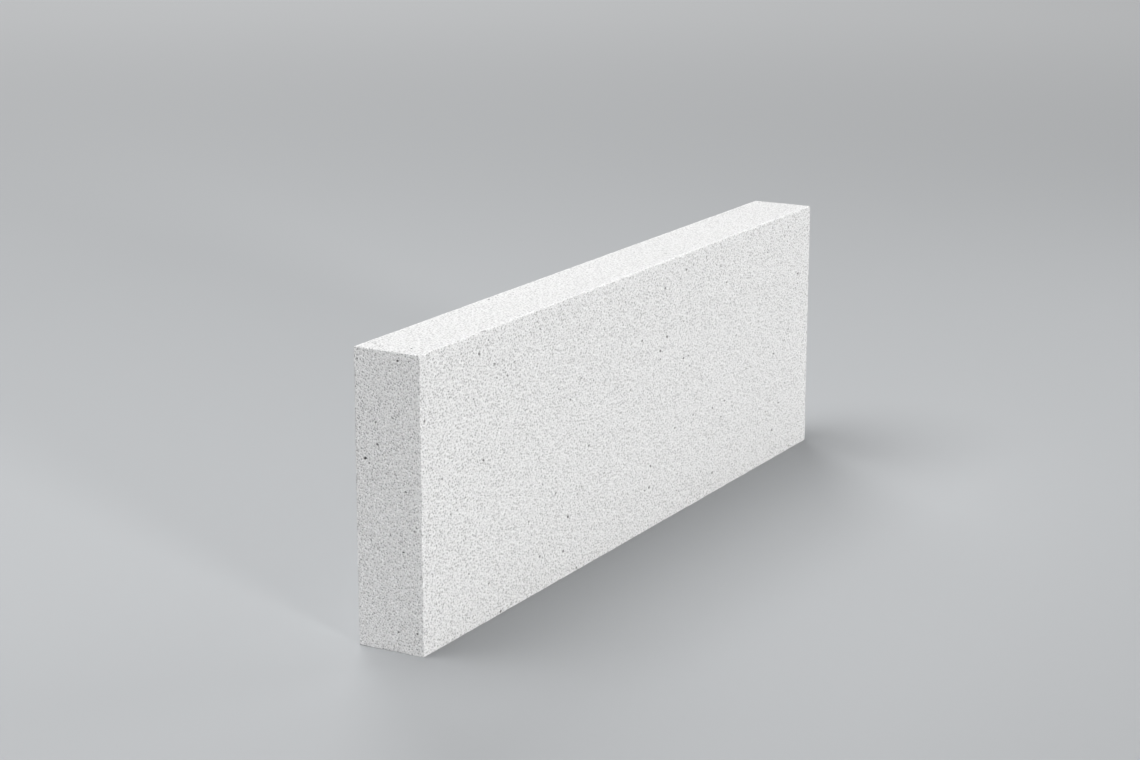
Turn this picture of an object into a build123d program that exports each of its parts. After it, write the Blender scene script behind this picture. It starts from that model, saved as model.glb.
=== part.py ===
"""A thin masonry board of aerated concrete, standing on its long bed face.

The board is wire-cut from one large cake and then steam-cured, so it is a single
piece with six plain faces. X runs along its length, Y through its thickness and
Z up its height, and the origin is at the middle of the bed face. All sizes are
in millimetres.
"""

import os

from build123d import *

# Trade size of the board, with its thin mortar joint
length = 600.0
height = 200.0
thickness = 50.0

# The cut arrises crumble to a small round when the board is handled
arris_radius = 1.0


def make_board():
    """The upright section, cut to length, with all twelve arrises eased."""
    with BuildPart() as board:
        with BuildSketch(Plane.YZ.offset(-length / 2)):
            Rectangle(thickness, height, align=(Align.CENTER, Align.MIN))
        extrude(amount=length)
        fillet(board.edges(), radius=arris_radius)
    return board.part


os.makedirs("parts", exist_ok=True)
export_step(make_board(), "parts/board.step")
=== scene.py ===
import itertools
import math
import random

import bpy
from mathutils import Matrix, Vector, noise


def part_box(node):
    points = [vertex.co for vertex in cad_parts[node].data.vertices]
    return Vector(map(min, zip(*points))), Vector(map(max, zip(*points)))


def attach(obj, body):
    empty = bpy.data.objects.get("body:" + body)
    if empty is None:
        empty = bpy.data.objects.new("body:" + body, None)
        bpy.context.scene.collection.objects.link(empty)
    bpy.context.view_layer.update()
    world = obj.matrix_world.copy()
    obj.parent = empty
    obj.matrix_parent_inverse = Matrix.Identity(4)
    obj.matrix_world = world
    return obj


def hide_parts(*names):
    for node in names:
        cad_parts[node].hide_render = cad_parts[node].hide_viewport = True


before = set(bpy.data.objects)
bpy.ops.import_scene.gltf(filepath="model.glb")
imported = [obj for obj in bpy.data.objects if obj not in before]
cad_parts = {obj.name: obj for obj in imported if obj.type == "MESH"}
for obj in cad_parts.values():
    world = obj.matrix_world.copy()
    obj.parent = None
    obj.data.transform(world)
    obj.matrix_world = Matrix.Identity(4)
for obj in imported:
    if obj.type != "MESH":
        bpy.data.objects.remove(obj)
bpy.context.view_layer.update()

lowCorner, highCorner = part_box("board")
middle = (lowCorner + highCorner) / 2
boardSize = highCorner - lowCorner
mm = 0.001
print("frame loaded, board measures", [round(side / mm) for side in boardSize], "mm")


# Small helpers

def startClean():
    if bpy.context.object and bpy.context.object.mode != "OBJECT":
        bpy.ops.object.mode_set(mode="OBJECT")
    bpy.ops.object.select_all(action="DESELECT")


def applyModifier(piece, modifier):
    startClean()
    piece.select_set(True)
    bpy.context.view_layer.objects.active = piece
    bpy.ops.object.modifier_apply(modifier=modifier.name)


def addObject(name, data):
    made = bpy.data.objects.new(name, data)
    bpy.context.scene.collection.objects.link(made)
    return made


def lerp(ends, share):
    return ends[0] + (ends[1] - ends[0]) * share


def direction(azimuth, elevation):
    # Towards a lamp or the camera, in degrees; azimuth 0 is straight out from the front face
    turn = math.radians(azimuth)
    rise = math.radians(elevation)
    return Vector((math.sin(turn) * math.cos(rise), -math.cos(turn) * math.cos(rise), math.sin(rise)))


# Camera: low and close to the near end, looking along the long face

cameraView = {
    "azimuth": -60.95,        # degrees, 0 looks along +Y
    "elevation": 14.18,
    "roll": 0.08,
    "distance": 1.874,        # m, from the aim point
    "lens": 80.2,             # mm
    "sensor": 36,             # mm wide
    "aimRight": -30.4 * mm,   # aim point from the middle of the board, across the picture
    "aimUp": 14.5 * mm,       # and up it
}


def addCamera():
    turn = math.radians(cameraView["azimuth"])
    back = direction(cameraView["azimuth"], cameraView["elevation"])
    right = Vector((math.cos(turn), math.sin(turn), 0))
    up = back.cross(right)
    aim = middle + right * cameraView["aimRight"] + up * cameraView["aimUp"]
    facing = Matrix((right, up, back)).transposed().to_4x4()
    facing = facing @ Matrix.Rotation(math.radians(cameraView["roll"]), 4, "Z")
    data = bpy.data.cameras.new("viewCamera")
    data.lens = cameraView["lens"]
    data.sensor_width = cameraView["sensor"]
    camera = addObject("viewCamera", data)
    camera.matrix_world = Matrix.Translation(aim + back * cameraView["distance"]) @ facing
    bpy.context.scene.camera = camera


addCamera()
print("camera placed")


# The block: a cut slab with plain faces and slightly crumbled arrises

block = {
    "gridCell": 10 * mm,      # face cells, which keep the triangles even
    "parallel": 0.99,         # cosine from which an edge counts as running along an axis
    "sharpAngle": 60,         # degrees between two faces, past which they meet in an arris
    "arris": 1.0 * mm,        # round of the handled arrises
    "arrisSteps": 3,
    "arrisReach": 1.01,       # points this many rounds from a side may belong to an arris
    "onFace": 1e-7,           # m, a point that would move less than this lies on a plain face
    "arrisWear": (0.4, 0.95), # least and most of the round along an arris
    "wearLength": 14 * mm,    # how fast the wear changes along an arris
    "fineWear": 3.1,          # a second wave of wear, this many times as fast
    "fineWearShare": 0.5,     # and this much as strong
}


def selectEdgesAlong(mesh, axis):
    for edge in mesh.edges:
        ends = [mesh.vertices[i].co for i in edge.vertices]
        edge.select = abs((ends[1] - ends[0]).normalized()[axis]) > block["parallel"]


def cutBlock():
    startClean()
    bpy.ops.mesh.primitive_cube_add(size=1, location=middle, scale=boardSize)
    slab = bpy.context.object
    slab.name = "porous_board"
    bpy.ops.object.transform_apply(location=True, rotation=True, scale=True)
    for axis in range(3):  # one set of cuts across each direction
        cuts = round(boardSize[axis] / block["gridCell"]) - 1
        bpy.ops.object.mode_set(mode="EDIT")
        bpy.ops.mesh.select_mode(type="EDGE")
        bpy.ops.mesh.select_all(action="DESELECT")
        bpy.ops.object.mode_set(mode="OBJECT")
        selectEdgesAlong(slab.data, axis)
        bpy.ops.object.mode_set(mode="EDIT")
        bpy.ops.mesh.subdivide(number_cuts=cuts)
    bpy.ops.mesh.select_all(action="DESELECT")
    bpy.ops.mesh.edges_select_sharp(sharpness=math.radians(block["sharpAngle"]))
    bpy.ops.mesh.bevel(offset=block["arris"], segments=block["arrisSteps"], affect="EDGES")
    bpy.ops.object.mode_set(mode="OBJECT")
    return slab


def nearestCorner(point, reach):
    # The point on the sharp edge or corner that a rounded arris stands in for
    sharp = point.copy()
    for axis in range(3):
        for side in (lowCorner[axis], highCorner[axis]):
            if abs(point[axis] - side) < reach:
                sharp[axis] = side
    return sharp


def wearArrises(slab):
    # Draws the round in towards the sharp edge, here more and there less
    reach = block["arris"] * block["arrisReach"]
    for vertex in slab.data.vertices:
        sharp = nearestCorner(vertex.co, reach)
        if (sharp - vertex.co).length < block["onFace"]:
            continue
        wave = noise.noise(sharp / block["wearLength"])
        wave += block["fineWearShare"] * noise.noise(sharp * block["fineWear"] / block["wearLength"])
        roundness = lerp(block["arrisWear"], min(max(0.5 + wave, 0), 1))
        vertex.co = sharp + (vertex.co - sharp) * roundness


slab = cutBlock()
wearArrises(slab)
print("block cut:", len(slab.data.polygons), "faces")


# Pores: the larger bubbles that the saw opened, cut as real pits, and the crumbs lost from the arrises

pores = {
    "seed": 41,
    "kinds": {
        "widePit": {
            "radius": (0.85 * mm, 1.2 * mm),
            "deep": (1.3, 2.0),   # in radii
            "long": (1.2, 1.8),
            "count": 110,
            "sides": 12,
            "rings": 6,
        },
        "middlePit": {
            "radius": (0.50 * mm, 0.90 * mm),
            "deep": (1.0, 1.6),
            "long": (1.1, 1.7),
            "count": 1350,
            "sides": 8,
            "rings": 4,
        },
        "smallPit": {
            "radius": (0.38 * mm, 0.50 * mm),
            "deep": (0.9, 1.4),
            "long": (1.0, 1.4),
            "count": 2900,
            "sides": 6,
            "rings": 4,
        },
    },
    "smallBias": 1.5,         # over 1, more of a kind are small than large
    "turned": 0.5,            # how far a pit may be turned from the length of the board, in radians
    "tilted": 0.2,            # and how far it may lean
    "raise": (0.0, 0.3),      # pit centre above the face, as a share of its depth
    "density": (0.8, 1.0, 0.5),    # on the cut ends, the long faces, the top and bed
    "patch": 34 * mm,         # size of the patches where pits are denser
    "patchShare": 0.7,        # share of the tried places that are kept
    "patchSwing": 0.6,        # and how much more or less of them a patch keeps
    "wall": 0.12 * mm,        # least wall between two pits
    "sortCell": 4 * mm,       # cells that sort the pits and crumbs by place
}

crumbs = {
    "name": "crumb",
    "radius": (0.45 * mm, 1.1 * mm),
    "smallBias": 2,
    "stretch": (1.0, 2.2),    # along the arris
    "raise": (0.25, 0.8),     # centre out from the arris, in radii
    "spacing": 9 * mm,        # mean step between crumbs along an arris
    "stepSpread": (0.3, 1.7), # least and most of that step
    "cornerRadius": (1.1 * mm, 1.8 * mm),
    "cornerRaise": (0.3, 0.7),
    "rough": 0.16,            # how far the points of a crumb are pushed about, in radii
    "roughSeed": 7,
}


def modelPit(name):
    startClean()
    kind = pores["kinds"][name]
    bpy.ops.mesh.primitive_uv_sphere_add(segments=kind["sides"], ring_count=kind["rings"], radius=1)
    pit = bpy.context.object
    pit.name = name
    return pit


def modelCrumb():
    startClean()
    bpy.ops.mesh.primitive_ico_sphere_add(subdivisions=2, radius=1)
    crumb = bpy.context.object
    crumb.name = crumbs["name"]
    bpy.ops.object.mode_set(mode="EDIT")
    bpy.ops.mesh.select_all(action="SELECT")
    bpy.ops.transform.vertex_random(offset=crumbs["rough"], seed=crumbs["roughSeed"])
    bpy.ops.object.mode_set(mode="OBJECT")
    return crumb


class Spacing:
    # Remembers where the pits and crumbs are, so that the next one keeps clear of them
    def __init__(self, cell):
        self.cell = cell
        self.taken = {}

    def key(self, point):
        return tuple(int(math.floor(value / self.cell)) for value in point)

    def isFree(self, point, radius):
        x, y, z = self.key(point)
        for i, j, k in itertools.product((-1, 0, 1), repeat=3):
            for other, reach in self.taken.get((x + i, y + j, z + k), ()):
                if (point - other).length <= radius + reach:
                    return False
        return True

    def take(self, point, radius):
        self.taken.setdefault(self.key(point), []).append((point, radius))


def faceList():
    # Each face of the board: its outward axis and side, its two in-plane axes and its share of the pits
    found = []
    for axis in range(3):
        first, second = [a for a in range(3) if a != axis]
        for side in (-1, 1):
            share = boardSize[first] * boardSize[second] * pores["density"][axis]
            found.append({"axis": axis, "side": side, "first": first, "second": second, "share": share})
    return found


def placeOnFace(face, rng):
    point = middle.copy()
    point[face["axis"]] = highCorner[face["axis"]] if face["side"] > 0 else lowCorner[face["axis"]]
    for axis in (face["first"], face["second"]):
        point[axis] = rng.uniform(lowCorner[axis], highCorner[axis])
    return point


def outward(face):
    normal = Vector((0, 0, 0))
    normal[face["axis"]] = face["side"]
    return normal


def pitPlacements(rng, spacing):
    faces = faceList()
    shares = [face["share"] for face in faces]
    for name, kind in pores["kinds"].items():
        made = 0
        while made < kind["count"]:
            face = rng.choices(faces, shares)[0]
            point = placeOnFace(face, rng)
            radius = lerp(kind["radius"], rng.random() ** pores["smallBias"])
            stretch = rng.uniform(*kind["long"])
            normal = outward(face)
            deep = radius * rng.uniform(*kind["deep"])
            centre = point + normal * deep * rng.uniform(*pores["raise"])
            reach = radius * stretch + pores["wall"] / 2
            keep = pores["patchShare"] + pores["patchSwing"] * noise.noise(point / pores["patch"])
            if rng.random() > keep or not spacing.isFree(centre, reach):
                continue
            spacing.take(centre, reach)
            long = Vector((0, 1, 0)) if face["axis"] == 0 else Vector((1, 0, 0))
            turn = Matrix((long, normal.cross(long), normal)).transposed().to_4x4()
            turn = turn @ Matrix.Rotation(rng.uniform(-1, 1) * pores["turned"], 4, "Z")
            tilt = Matrix.Rotation(rng.uniform(-pores["tilted"], pores["tilted"]), 4, "X")
            shape = Matrix.Diagonal((radius * stretch, radius, deep, 1))
            yield name, Matrix.Translation(centre) @ turn @ tilt @ shape
            made += 1


def boardCorner(sides):
    # The high end of the board along each axis whose side is 1, and the low end along the others
    return Vector([(highCorner if side > 0 else lowCorner)[axis] for axis, side in enumerate(sides)])


def arrisList():
    # The twelve arrises: the axis along each, and the sides of the board that meet in it
    for axis in range(3):
        first, second = [a for a in range(3) if a != axis]
        for firstSide, secondSide in itertools.product((-1, 1), repeat=2):
            sides = [0, 0, 0]
            sides[first] = firstSide
            sides[second] = secondSide
            yield axis, sides


def crumbPlacements(rng, spacing):
    for sides in itertools.product((-1, 1), repeat=3):
        radius = rng.uniform(*crumbs["cornerRadius"])
        out = Vector(sides).normalized()
        centre = boardCorner(sides) + out * radius * rng.uniform(*crumbs["cornerRaise"])
        spacing.take(centre, radius)
        turn = Matrix.Rotation(rng.uniform(0, math.tau), 4, sides)
        yield crumbs["name"], Matrix.Translation(centre) @ turn @ Matrix.Scale(radius, 4)
    for axis, sides in arrisList():
        out = Vector(sides).normalized()
        alongAxis = Vector([float(a == axis) for a in range(3)])
        along = lowCorner[axis] + rng.uniform(0, crumbs["spacing"])
        while along < highCorner[axis]:
            point = boardCorner(sides)
            point[axis] = along
            radius = lerp(crumbs["radius"], rng.random() ** crumbs["smallBias"])
            stretch = rng.uniform(*crumbs["stretch"])
            centre = point + out * radius * rng.uniform(*crumbs["raise"])
            along += rng.uniform(*crumbs["stepSpread"]) * crumbs["spacing"]
            if not spacing.isFree(centre, radius * stretch):
                continue
            spacing.take(centre, radius * stretch)
            turn = alongAxis.to_track_quat("X", "Z").to_matrix().to_4x4()
            turn = turn @ Matrix.Rotation(rng.uniform(0, math.tau), 4, "X")
            shape = Matrix.Diagonal((radius * stretch, radius, radius, 1))
            yield crumbs["name"], Matrix.Translation(centre) @ turn @ shape


def joinCopies(name, patterns, placements):
    # One mesh of many copies, each moved to its place
    points, faces = [], []
    for pattern, place in placements:
        mesh = patterns[pattern].data
        start = len(points)
        points += [place @ vertex.co for vertex in mesh.vertices]
        faces += [[start + i for i in polygon.vertices] for polygon in mesh.polygons]
    joined = bpy.data.meshes.new(name)
    joined.from_pydata(points, [], faces)
    return addObject(name, joined)


def cutPores(slab):
    rng = random.Random(pores["seed"])
    patterns = {name: modelPit(name) for name in pores["kinds"]}
    patterns[crumbs["name"]] = modelCrumb()
    spacing = Spacing(pores["sortCell"])
    placements = list(crumbPlacements(rng, spacing)) + list(pitPlacements(rng, spacing))
    cutter = joinCopies("cutter", patterns, placements)
    cut = slab.modifiers.new("poreCut", "BOOLEAN")
    cut.object = cutter
    cut.operation = "DIFFERENCE"
    cut.solver = "MANIFOLD"
    applyModifier(slab, cut)
    for spare in [cutter, *patterns.values()]:
        bpy.data.objects.remove(spare)
    return len(placements)


cutters = cutPores(slab)
slab.data.calc_loop_triangles()
print("pores cut:", cutters, "pits and crumbs,", len(slab.data.loop_triangles), "triangles")


# Shading, the flat layout for baking, and what the material reads from the mesh

flatLayout = {
    "name": "OFBake",
    "gap": 3 * mm,
    "smoothFrom": 0.02 * mm,  # polygons further than this from their face are shaded smooth
    "lean": 1e-6,             # m, lets the way a polygon faces decide between two faces as near
}
flatLayout["width"] = boardSize.x + 2 * flatLayout["gap"]   # what 1 in the layout measures on the board


def sideOf(polygon):
    # The face of the board that a polygon, or the pit it is in, belongs to: how far off, its axis and side
    best = None
    for axis in range(3):
        for side, plane in ((-1, lowCorner[axis]), (1, highCorner[axis])):
            away = abs(polygon.center[axis] - plane) - flatLayout["lean"] * polygon.normal[axis] * side
            if best is None or away < best[0]:
                best = (away, axis, side)
    return best


def layOutFaces(mesh):
    # The front, the back, the top and the bed one above the other, then the two ends side by side
    gap = flatLayout["gap"]
    length, thickness, height = boardSize
    origins = {}
    rise = gap
    for axis, side, tall in ((1, -1, height), (1, 1, height), (2, 1, thickness), (2, -1, thickness)):
        origins[axis, side] = (gap, rise)
        rise += tall + gap
    origins[0, -1] = (gap, rise)
    origins[0, 1] = (height + 2 * gap, rise)
    scale = 1 / flatLayout["width"]
    inPlane = {0: (2, 1), 1: (0, 2), 2: (0, 1)}  # the ends lie on their side
    uvs = mesh.uv_layers.new(name=flatLayout["name"]).uv
    for polygon in mesh.polygons:
        away, axis, side = sideOf(polygon)
        polygon.use_smooth = away > flatLayout["smoothFrom"]
        left, base = origins[axis, side]
        across, up = inPlane[axis]
        for corner in polygon.loop_indices:
            point = mesh.vertices[mesh.loops[corner].vertex_index].co - lowCorner
            uvs[corner].vector = ((left + point[across]) * scale, (base + point[up]) * scale)


def depthBelow(point):
    # How far a point lies below the rounded block, so that a sound arris counts as 0
    away = [min(point[a] - lowCorner[a], highCorner[a] - point[a]) for a in range(3)]
    short = Vector([max(block["arris"] - reach, 0) for reach in away])
    if sum(value > 0 for value in short) < 2:
        return max(min(away), 0)
    return max(block["arris"] - short.length, 0)


def markMesh(mesh):
    # The pattern counts shorter along the board, which draws its bubbles out; the ends are cut across it
    squeeze = 1 / concrete["drawOut"]
    axes = [sideOf(polygon)[1] for polygon in mesh.polygons]
    marks = {
        "poreContrastMark": [concrete["poreContrast"][axis] for axis in axes],
        "along": [1.0 if axis == 0 else squeeze for axis in axes],
        "glint": [concrete["glint"][axis] for axis in axes],
    }
    for name, values in marks.items():
        mesh.attributes.new(name, "FLOAT", "FACE").data.foreach_set("value", values)
    # how deep each point lies, in mm, for the painted shade down the pits
    depths = [depthBelow(vertex.co) / mm for vertex in mesh.vertices]
    mesh.attributes.new("depth", "FLOAT", "POINT").data.foreach_set("value", depths)


# Aerated concrete: matt white-grey, with fine pores between the cut ones, and painted shade in the bubbles
# and down the pits

concrete = {
    "grey": 0.84,
    # scales the painted shade in the bubbles and the grain, face by face: weaker on the top, where light
    # from above reaches into the pores
    "poreContrast": (1.03, 1.05, 0.85),  # contrast of the pores on the ends, the long faces, the top and bed
    "cell": 1.65 * mm,        # one bubble to a cell
    "jitter": 0.92,           # how far the bubbles stray from even rows
    "reach": (0.36, 0.58),    # rim of a bubble from its middle, in cells
    "heart": 0.1,             # the share of that distance which is darkest
    "deepFrom": 0.5,          # this share of the bubbles, the smaller ones, are all as shallow
    "deep": (0.9, 1.5),       # how dark those are, and the largest
    # painted shade: how much darker the middle of a bubble is painted, for the shade in a pore
    "bubblePaintedShade": 0.305,
    "drawOut": 1.45,          # bubbles are this much longer along the board
    "turn": 0.45,             # radians, so that the cells don't stand in rows along the arrises
    "grain": 0.7 * mm,        # sand grains
    "grainShade": 0.24,       # from the darkest grain to the palest
    "glint": (0.6, 0.0, 0.0), # extra light of the brightest grains, face by face as for openness
    "glintFrom": 0.8,         # the share of the grains that have none of it
    "patch": 30 * mm,         # patches where bubbles and grains stand out a little more or less
    "patchDetail": 2.0,
    "patchRange": (0.3, 0.7), # of the noise, which seldom goes past it
    "patchStrength": (0.97, 1.03),
    # painted shade down the cut pits: the colour darkens with depth
    "pitPaintedShade": 0.88,         # how much darker 1 mm down a pit
    "pitDarkest": 0.7,        # and the most that a pit darkens
    "rimInward": 3.2 * mm,    # width of the painted highlight, on the top
    "rimDown": 1.6 * mm,      # and on the long faces
    "rimHighlightLift": 0.10,          # how much paler it is at the arris
    "bump": 0.25 * mm,
    "roughness": (0.90, 1.0), # between the bubbles and in them
    "specular": 0.15,
}


class Shader:
    # A short way to write a node tree
    def __init__(self, name):
        self.material = bpy.data.materials.new(name)
        self.material.use_nodes = True
        self.tree = self.material.node_tree
        self.surface = self.tree.nodes["Principled BSDF"]

    def add(self, kind, inputs=None, **settings):
        made = self.tree.nodes.new(kind)
        for name, value in settings.items():
            setattr(made, name, value)
        for name, value in (inputs or {}).items():
            socket = made.inputs[name]
            if isinstance(value, bpy.types.NodeSocket):
                self.tree.links.new(value, socket)
            else:
                socket.default_value = value
        return made

    def maths(self, operation, *values, clamp=False):
        made = self.add("ShaderNodeMath", dict(enumerate(values)), operation=operation, use_clamp=clamp)
        return made.outputs[0]

    def vectors(self, operation, inputs):
        return self.add("ShaderNodeVectorMath", inputs, operation=operation).outputs[0]

    def ramp(self, value, fromMin, fromMax, toMin, toMax):
        made = self.add(
            "ShaderNodeMapRange",
            {"Value": value, "From Min": fromMin, "From Max": fromMax, "To Min": toMin, "To Max": toMax},
            interpolation_type="SMOOTHSTEP",
        )
        return made.outputs[0]

    def mark(self, name):
        # A value that markMesh left on the mesh
        return self.add("ShaderNodeAttribute", attribute_name=name).outputs["Fac"]

    def pick(self, cells):
        # A chance value for each cell, from 0 to 1
        return self.add("ShaderNodeSeparateColor", {"Color": cells.outputs["Color"]}).outputs[0]

    def link(self, value, name):
        self.tree.links.new(value, self.surface.inputs[name])


def flatPlace(shader):
    # Metres across the flat layout of the faces, shortened along the board and turned
    layout = shader.add("ShaderNodeUVMap", uv_map=flatLayout["name"]).outputs[0]
    metres = shader.vectors("SCALE", {0: layout, "Scale": flatLayout["width"]})
    squeeze = shader.add("ShaderNodeCombineXYZ", {"X": shader.mark("along"), "Y": 1.0}).outputs[0]
    drawn = shader.vectors("MULTIPLY", {0: metres, 1: squeeze})
    return shader.add("ShaderNodeVectorRotate", {"Vector": drawn, "Angle": concrete["turn"]}).outputs[0]


def bubbleField(shader, place):
    # Highest in the middle of a cut bubble, 0 on the solid between the bubbles; it sets the painted shade,
    # the bump and the roughness
    cells = shader.add(
        "ShaderNodeTexVoronoi",
        {"Vector": place, "Scale": 1 / concrete["cell"], "Randomness": concrete["jitter"]},
        voronoi_dimensions="2D",
    )
    pick = shader.pick(cells)
    least, most = concrete["reach"]
    edge = shader.maths("MULTIPLY_ADD", pick, most - least, least)
    heart = shader.maths("MULTIPLY", edge, concrete["heart"])
    deep = shader.ramp(pick, concrete["deepFrom"], 1.0, *concrete["deep"])
    return shader.maths("MULTIPLY", shader.ramp(cells.outputs["Distance"], edge, heart, 0, 1), deep)


def sandGrain(shader, place):
    # Each grain a little darker or paler than the next, with a few bright ones on the ends
    grains = shader.add("ShaderNodeTexVoronoi", {"Vector": place, "Scale": 1 / concrete["grain"]})
    pick = shader.pick(grains)
    brightest = shader.ramp(pick, concrete["glintFrom"], 1.0, 0, 1)
    speck = shader.maths("SUBTRACT", pick, 0.5)
    return shader.maths("MULTIPLY_ADD", brightest, shader.mark("glint"), speck)


def paintedRimHighlight(shader, place):
    # 1 on the two long arrises of the top, fading inward: a painted highlight where they catch the light
    parts = shader.add("ShaderNodeSeparateXYZ", {"Vector": place}).outputs
    down = shader.maths("SUBTRACT", highCorner.z, parts["Z"])
    down = shader.maths("MULTIPLY", down, concrete["rimInward"] / concrete["rimDown"])
    across = shader.maths("ABSOLUTE", shader.maths("SUBTRACT", parts["Y"], middle.y))
    inward = shader.maths("SUBTRACT", boardSize.y / 2, across)
    away = shader.maths("MAXIMUM", down, inward)
    return shader.ramp(away, concrete["rimInward"], 0, 0, 1)


def concreteMaterial():
    shader = Shader("aeratedConcrete")
    place = shader.add("ShaderNodeTexCoord").outputs["Object"]

    patches = shader.add(
        "ShaderNodeTexNoise",
        {"Vector": place, "Scale": 1 / concrete["patch"], "Detail": concrete["patchDetail"]},
    )
    strength = shader.ramp(patches.outputs["Fac"], *concrete["patchRange"], *concrete["patchStrength"])
    # the painted bubble shade and the grain, stronger or weaker face by face
    strength = shader.maths("MULTIPLY", strength, shader.mark("poreContrastMark"))

    foam = bubbleField(shader, flatPlace(shader))
    # painted shade in the bubbles, darkest in their middle
    texture = shader.maths("MULTIPLY", foam, -concrete["bubblePaintedShade"])
    texture = shader.maths("MULTIPLY_ADD", sandGrain(shader, place), concrete["grainShade"], texture)
    light = shader.maths("MULTIPLY_ADD", texture, strength, 1.0)
    light = shader.maths("MULTIPLY", light, concrete["grey"])
    # painted shade: darker down the pits
    pitPaintedShade = shader.maths("MULTIPLY", shader.mark("depth"), concrete["pitPaintedShade"])
    pitPaintedShade = shader.maths("MINIMUM", pitPaintedShade, concrete["pitDarkest"])
    light = shader.maths("MULTIPLY", light, shader.maths("SUBTRACT", 1.0, pitPaintedShade))
    # painted highlight along the two long arrises of the top
    rim = paintedRimHighlight(shader, place)
    light = shader.maths("MULTIPLY_ADD", rim, concrete["rimHighlightLift"], light, clamp=True)
    shader.link(light, "Base Color")

    height = shader.maths("MULTIPLY", foam, -1.0)
    bump = shader.add("ShaderNodeBump", {"Height": height, "Distance": concrete["bump"]})
    bump.inputs["Strength"].default_value = 1.0
    shader.link(bump.outputs["Normal"], "Normal")
    shader.link(shader.ramp(foam, 0, 1, *concrete["roughness"]), "Roughness")
    shader.surface.inputs["Specular IOR Level"].default_value = concrete["specular"]
    return shader.material


layOutFaces(slab.data)
markMesh(slab.data)
slab.data.materials.clear()
slab.data.materials.append(concreteMaterial())
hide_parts("board")
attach(slab, "root")
print("board finished")


# Floor and studio light

studio = {
    "floorColor": (0.497, 0.51, 0.523),
    "floorSize": 40.0,        # m
    "glowColor": (1.0, 1.0, 1.0),
    "glowFrom": 0.6,          # m from the middle, where the floor starts to glow towards the camera
    "glowTo": 4.0,
    "glow": 0.17,             # painted light: how strongly it glows at the end, with no light of its own on the board
    "worldColor": (1.0, 1.0, 1.0),
    "worldStrength": 0.08,
}

# Directions as for the camera, distance and width in m. A surface that faces a lamp of level 1 shows its
# colour as it is written.
lamps = [
    {
        "name": "keyLight",
        "azimuth": 212,
        "elevation": 70,
        "distance": 2.6,
        "width": 2.2,
        "level": 0.912,
        "color": (1, 1, 1),
    },
    {
        "name": "fillLight",
        "azimuth": -26.5,
        "elevation": 6,
        "distance": 16.0,
        "width": 3.2,
        "level": 0.762,
        "color": (1, 0.993, 0.985),  # a little warm, against the cool light that the floor throws back
    },
    {
        "name": "sideLight",
        "azimuth": 55,
        "elevation": 35,
        "distance": 1.6,
        "width": 0.8,
        "level": 0.11,
        "color": (1, 1, 1),
    },
    {
        "name": "backLight",
        "azimuth": 130,
        "elevation": 35,
        "distance": 8.0,
        "width": 3.2,
        "level": 0.30,
        "color": (1, 1, 1),
    },
]


def addFloor():
    startClean()
    bpy.ops.mesh.primitive_plane_add(size=studio["floorSize"], location=(0, 0, lowCorner.z))
    floor = bpy.context.object
    floor.name = "floor"
    shader = Shader("floorPaint")
    shader.surface.inputs["Base Color"].default_value = (*studio["floorColor"], 1)
    shader.surface.inputs["Roughness"].default_value = 1.0
    shader.surface.inputs["Specular IOR Level"].default_value = 0.0
    # painted glow: the floor gives off light that only the camera sees, more further from the middle
    shader.surface.inputs["Emission Color"].default_value = (*studio["glowColor"], 1)
    place = shader.add("ShaderNodeTexCoord").outputs["Object"]
    away = shader.add("ShaderNodeVectorMath", {0: place}, operation="LENGTH").outputs["Value"]
    glow = shader.ramp(away, studio["glowFrom"], studio["glowTo"], 0, studio["glow"])
    seen = shader.add("ShaderNodeLightPath").outputs["Is Camera Ray"]
    shader.link(shader.maths("MULTIPLY", glow, seen), "Emission Strength")
    floor.data.materials.append(shader.material)


def addLamp(lamp):
    away = direction(lamp["azimuth"], lamp["elevation"])
    data = bpy.data.lights.new(lamp["name"], "AREA")
    data.shape = "DISK"
    data.size = lamp["width"]
    data.energy = lamp["level"] * (math.pi * lamp["distance"]) ** 2
    data.color = lamp["color"]
    made = addObject(lamp["name"], data)
    made.location = middle + away * lamp["distance"]
    made.rotation_euler = (-away).to_track_quat("-Z", "Y").to_euler()


def addWorld():
    world = bpy.data.worlds.new("studio")
    world.use_nodes = True
    background = world.node_tree.nodes["Background"]
    background.inputs["Color"].default_value = (*studio["worldColor"], 1)
    background.inputs["Strength"].default_value = studio["worldStrength"]
    bpy.context.scene.world = world


addFloor()
addWorld()
for lamp in lamps:
    addLamp(lamp)
bpy.context.scene.view_settings.view_transform = "Standard"
print("studio lit")
